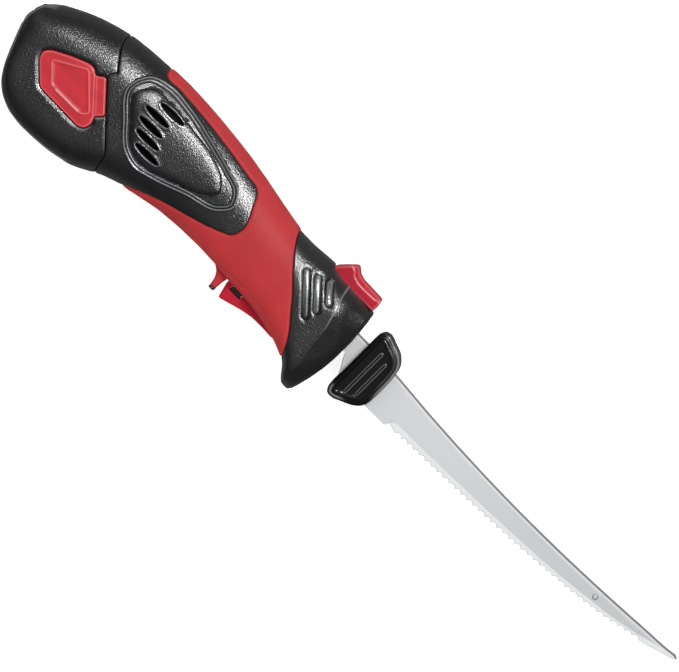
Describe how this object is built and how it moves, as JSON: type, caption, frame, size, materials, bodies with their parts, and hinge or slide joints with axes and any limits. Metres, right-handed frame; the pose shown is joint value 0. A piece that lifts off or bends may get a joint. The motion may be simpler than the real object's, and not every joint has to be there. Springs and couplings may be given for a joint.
{
  "type": "electric fillet knife",
  "caption": "Cordless electric fillet knife with side-by-side serrated blades, a soft-grip pistol handle, thumb release, trigger with lock, and a latched rear battery.",
  "frame": {"origin": "centre of the bounding box at its base, where the knife lies on its left side", "axes": "+X towards the blade tip, +Y towards the spine and thumb button, +Z out of the right side"},
  "size_m": [0.4936, 0.0806, 0.046],
  "materials": {
    "black_housing": "fine moulded texture",
    "black_blade_grip": "glossy",
    "red_soft_grip": "soft satin",
    "red_button": "satin",
    "blade_steel": "ground and polished",
    "machine_steel": "turned",
    "spring_steel": "drawn wire",
    "screw_steel": "zinc plated",
    "brass": "turned",
    "white_nylon": "moulded",
    "cast_metal": "plain",
    "cell_sleeve": "shrink sleeve",
    "circuit_board": "coated board"
  },
  "bodies": {
    "handle": {"housing_right": "black_housing", "housing_left": "black_housing", "soft_grip_right": "red_soft_grip", "soft_grip_left": "red_soft_grip", "motor_can": "cast_metal", "motor_end_cap": "black_housing", "gear_frame": "cast_metal", "shaft_bush_right": "brass", "shaft_bush_left": "brass", "worm_bush": "brass", "trigger_pin": "machine_steel", "trigger_spring": "spring_steel", "release_spring": "spring_steel", "micro_switch": "black_housing", "control_board": "circuit_board", "terminal_block": "white_nylon", "contact_blade_right": "brass", "contact_blade_left": "brass", "housing_screw_1": "screw_steel", "housing_screw_2": "screw_steel", "housing_screw_3": "screw_steel", "housing_screw_4": "screw_steel", "housing_screw_5": "screw_steel", "housing_screw_6": "screw_steel", "housing_screw_7": "screw_steel"},
    "rotor": {"worm": "brass", "motor_shaft": "machine_steel"},
    "wheel": {"worm_wheel": "white_nylon", "gear_shaft": "machine_steel", "crank_right": "machine_steel", "crank_left": "machine_steel"},
    "drive_right": {"blade_carrier_right": "white_nylon"},
    "drive_left": {"blade_carrier_left": "white_nylon"},
    "cutter_right": {"blade_right": "blade_steel", "blade_grip_right": "black_blade_grip", "tip_rivet": "blade_steel"},
    "cutter_left": {"blade_left": "blade_steel", "blade_grip_left": "black_blade_grip"},
    "trigger": {"trigger": "red_button"},
    "lock": {"trigger_lock": "black_housing"},
    "button": {"release_button": "red_button"},
    "battery": {"battery_case_right": "black_housing", "battery_case_left": "black_housing", "battery_cell_1": "cell_sleeve", "battery_cell_2": "cell_sleeve", "charge_board": "circuit_board", "charging_jack": "black_housing", "latch_spring_right": "spring_steel", "latch_spring_left": "spring_steel", "battery_screw_1": "screw_steel", "battery_screw_2": "screw_steel", "battery_screw_3": "screw_steel"},
    "latch_right": {"latch_right": "red_button"},
    "latch_left": {"latch_left": "red_button"}
  },
  "joints": [
    {"name": "motor_spin", "type": "hinge", "parent": "handle", "child": "rotor", "pos_m": [-0.05045, 0.00975, 0.023], "axis": [1, 0, 0], "range_deg": [-1080, 1080]},
    {"name": "wheel_spin", "type": "hinge", "parent": "handle", "child": "wheel", "pos_m": [-0.03575, -0.00375, 0.023], "axis": [0, 0, 1], "range_deg": [-60, 60]},
    {"name": "right_drive", "type": "slide", "parent": "handle", "child": "drive_right", "axis": [1, 0, 0], "range_m": [-0.00363, 0.00363]},
    {"name": "left_drive", "type": "slide", "parent": "handle", "child": "drive_left", "axis": [1, 0, 0], "range_m": [-0.00364, 0.00364]},
    {"name": "right_blade_pull", "type": "slide", "parent": "drive_right", "child": "cutter_right", "axis": [1, 0, 0], "range_m": [0, 0.046]},
    {"name": "left_blade_pull", "type": "slide", "parent": "drive_left", "child": "cutter_left", "axis": [1, 0, 0], "range_m": [0, 0.046]},
    {"name": "trigger_press", "type": "hinge", "parent": "handle", "child": "trigger", "pos_m": [-0.03175, -0.01875, 0.023], "axis": [0, 0, -1], "range_deg": [0, 6], "stiffness_Nm_per_rad": 0.4, "springref_deg": -5.73, "deforming": ["trigger_spring"]},
    {"name": "trigger_lock_slide", "type": "slide", "parent": "trigger", "child": "lock", "axis": [0, 0, -1], "range_m": [0, 0.0016]},
    {"name": "blade_release", "type": "slide", "parent": "handle", "child": "button", "axis": [0, -1, 0], "range_m": [0, 0.0026], "stiffness_N_per_m": 500, "springref_m": -0.002, "deforming": ["release_spring"]},
    {"name": "battery_pull", "type": "slide", "parent": "handle", "child": "battery", "axis": [-1, 0, 0], "range_m": [0, 0.05]},
    {"name": "latch_right_press", "type": "slide", "parent": "battery", "child": "latch_right", "axis": [0, 0, -1], "range_m": [0, 0.0022], "stiffness_N_per_m": 500, "springref_m": -0.002, "deforming": ["latch_spring_right"]},
    {"name": "latch_left_press", "type": "slide", "parent": "battery", "child": "latch_left", "axis": [0, 0, 1], "range_m": [0, 0.0022], "stiffness_N_per_m": 500, "springref_m": -0.002, "deforming": ["latch_spring_left"]}
  ],
  "couplings": [
    {"joint": "motor_spin", "follows": "right_drive", "rad_per_m": -5187.3},
    {"joint": "wheel_spin", "follows": "right_drive", "rad_per_m": -288.18},
    {"joint": "left_drive", "follows": "right_drive", "ratio": -1},
    {"joint": "left_blade_pull", "follows": "right_blade_pull", "ratio": 1}
  ]
}
